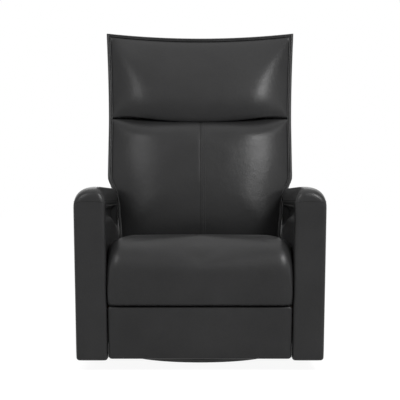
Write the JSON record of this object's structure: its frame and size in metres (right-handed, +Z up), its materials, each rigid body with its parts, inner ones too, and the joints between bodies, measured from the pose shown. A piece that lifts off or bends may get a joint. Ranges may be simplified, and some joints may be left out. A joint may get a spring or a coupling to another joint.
{
  "type": "swivel rocker recliner",
  "caption": "Upholstered swivel rocker recliner with padded arms, pillow back, sprung seat, fold-out footrest on linkages, rocker rails and a round floor ring.",
  "frame": {"origin": "on the floor, on the swivel axis, at the centre of the chair's plan", "axes": "+Z up, -Y towards the front (where the footrest opens), +X towards the sitter's left hand"},
  "size_m": [0.78, 0.9, 1.145],
  "materials": {
    "upholstery": "satin",
    "hardwood": "matte",
    "plywood": "matte",
    "black_steel": "satin",
    "zinc_steel": "satin",
    "mechanism_steel": "satin",
    "spring_steel": "satin",
    "nylon": "matte",
    "webbing": "matte",
    "handle_plastic": "satin"
  },
  "bodies": {
    "base": {"base_ring": "black_steel", "base_cross": "black_steel", "bearing_lower": "zinc_steel", "slip_ring": "nylon", "kingpin": "zinc_steel"},
    "platform": {"bearing_upper": "zinc_steel", "platform_channel": "black_steel", "rocker_rails": "hardwood", "spring_cups": "mechanism_steel", "rocker_springs": "spring_steel"},
    "chair_frame": {"rocker_cams": "hardwood", "spring_brackets": "mechanism_steel", "frame_plates": "mechanism_steel", "frame_stretchers": "mechanism_steel", "arm_frame_left": "hardwood", "arm_frame_right": "hardwood", "arm_left": "upholstery", "arm_right": "upholstery", "rear_panel": "upholstery", "release_recess": "handle_plastic"},
    "release": {"release_handle": "handle_plastic", "release_crank": "mechanism_steel"},
    "front_lift": {"front_lift_links": "mechanism_steel"},
    "rear_lift": {"rear_lift_links": "mechanism_steel"},
    "seat": {"seat_plates": "mechanism_steel", "seat_frame": "hardwood", "seat_springs": "spring_steel", "seat_cushion": "upholstery"},
    "back": {"back_brackets": "mechanism_steel", "back_frame": "hardwood", "back_webbing": "webbing", "back_shell": "upholstery", "lumbar_cushion": "upholstery", "headrest_cushion": "upholstery"},
    "front_link": {"footrest_front_links": "mechanism_steel", "footrest_cross_tube": "mechanism_steel"},
    "outer_link": {"footrest_outer_links": "mechanism_steel"},
    "inner_link": {"footrest_inner_links": "mechanism_steel"},
    "rear_link": {"footrest_rear_links": "mechanism_steel"},
    "footrest": {"footrest_brackets": "mechanism_steel", "footrest_board": "plywood", "footrest_cushion": "upholstery"}
  },
  "joints": [
    {"name": "swivel", "type": "hinge", "parent": "base", "child": "platform", "pos_m": [0, 0, 0.0393], "axis": [0, 0, 1], "continuous": true},
    {"name": "rock", "type": "hinge", "parent": "platform", "child": "chair_frame", "pos_m": [0, 0, 0.3426], "axis": [-1, 0, 0], "range_deg": [-3, 7], "stiffness_Nm_per_rad": 450, "deforming": ["rocker_springs"]},
    {"name": "release", "type": "hinge", "parent": "chair_frame", "child": "release", "pos_m": [-0.38, -0.215, 0.282], "axis": [-1, 0, 0], "range_deg": [0, 25], "stiffness_Nm_per_rad": 1.5, "springref_deg": -20.05},
    {"name": "front_lift", "type": "hinge", "parent": "chair_frame", "child": "front_lift", "pos_m": [0, -0.12, 0.156], "axis": [1, 0, 0], "range_deg": [0, 35]},
    {"name": "rear_lift", "type": "hinge", "parent": "chair_frame", "child": "rear_lift", "pos_m": [0, 0.11, 0.156], "axis": [1, 0, 0], "range_deg": [0, 35]},
    {"name": "seat_level", "type": "hinge", "parent": "front_lift", "child": "seat", "pos_m": [0, -0.09093, 0.23587], "axis": [1, 0, 0], "range_deg": [-35, 0]},
    {"name": "recline", "type": "hinge", "parent": "seat", "child": "back", "pos_m": [0, 0.15004, 0.23587], "axis": [-1, 0, 0], "range_deg": [0, 28]},
    {"name": "footrest", "type": "hinge", "parent": "seat", "child": "front_link", "pos_m": [0, -0.3, 0.224], "axis": [-1, 0, 0], "range_deg": [0, 87]},
    {"name": "outer_fold", "type": "hinge", "parent": "front_link", "child": "outer_link", "pos_m": [0, -0.24568, 0.08956], "axis": [-1, 0, 0], "range_deg": [-87, 0]},
    {"name": "inner_fold", "type": "hinge", "parent": "front_link", "child": "inner_link", "pos_m": [0, -0.2307, 0.05247], "axis": [-1, 0, 0], "range_deg": [-87, 0]},
    {"name": "rear_link", "type": "hinge", "parent": "seat", "child": "rear_link", "pos_m": [0, -0.23, 0.219], "axis": [-1, 0, 0], "range_deg": [0, 87]},
    {"name": "panel_turn", "type": "hinge", "parent": "outer_link", "child": "footrest", "pos_m": [0, -0.377, 0.186], "axis": [-1, 0, 0], "range_deg": [0, 87]}
  ],
  "couplings": [
    {"joint": "front_lift", "follows": "recline", "ratio": 1.25},
    {"joint": "rear_lift", "follows": "recline", "ratio": 1.25},
    {"joint": "seat_level", "follows": "recline", "ratio": -1.25},
    {"joint": "outer_fold", "follows": "footrest", "ratio": -1},
    {"joint": "inner_fold", "follows": "footrest", "ratio": -1},
    {"joint": "rear_link", "follows": "footrest", "ratio": 1},
    {"joint": "panel_turn", "follows": "footrest", "ratio": 1}
  ]
}
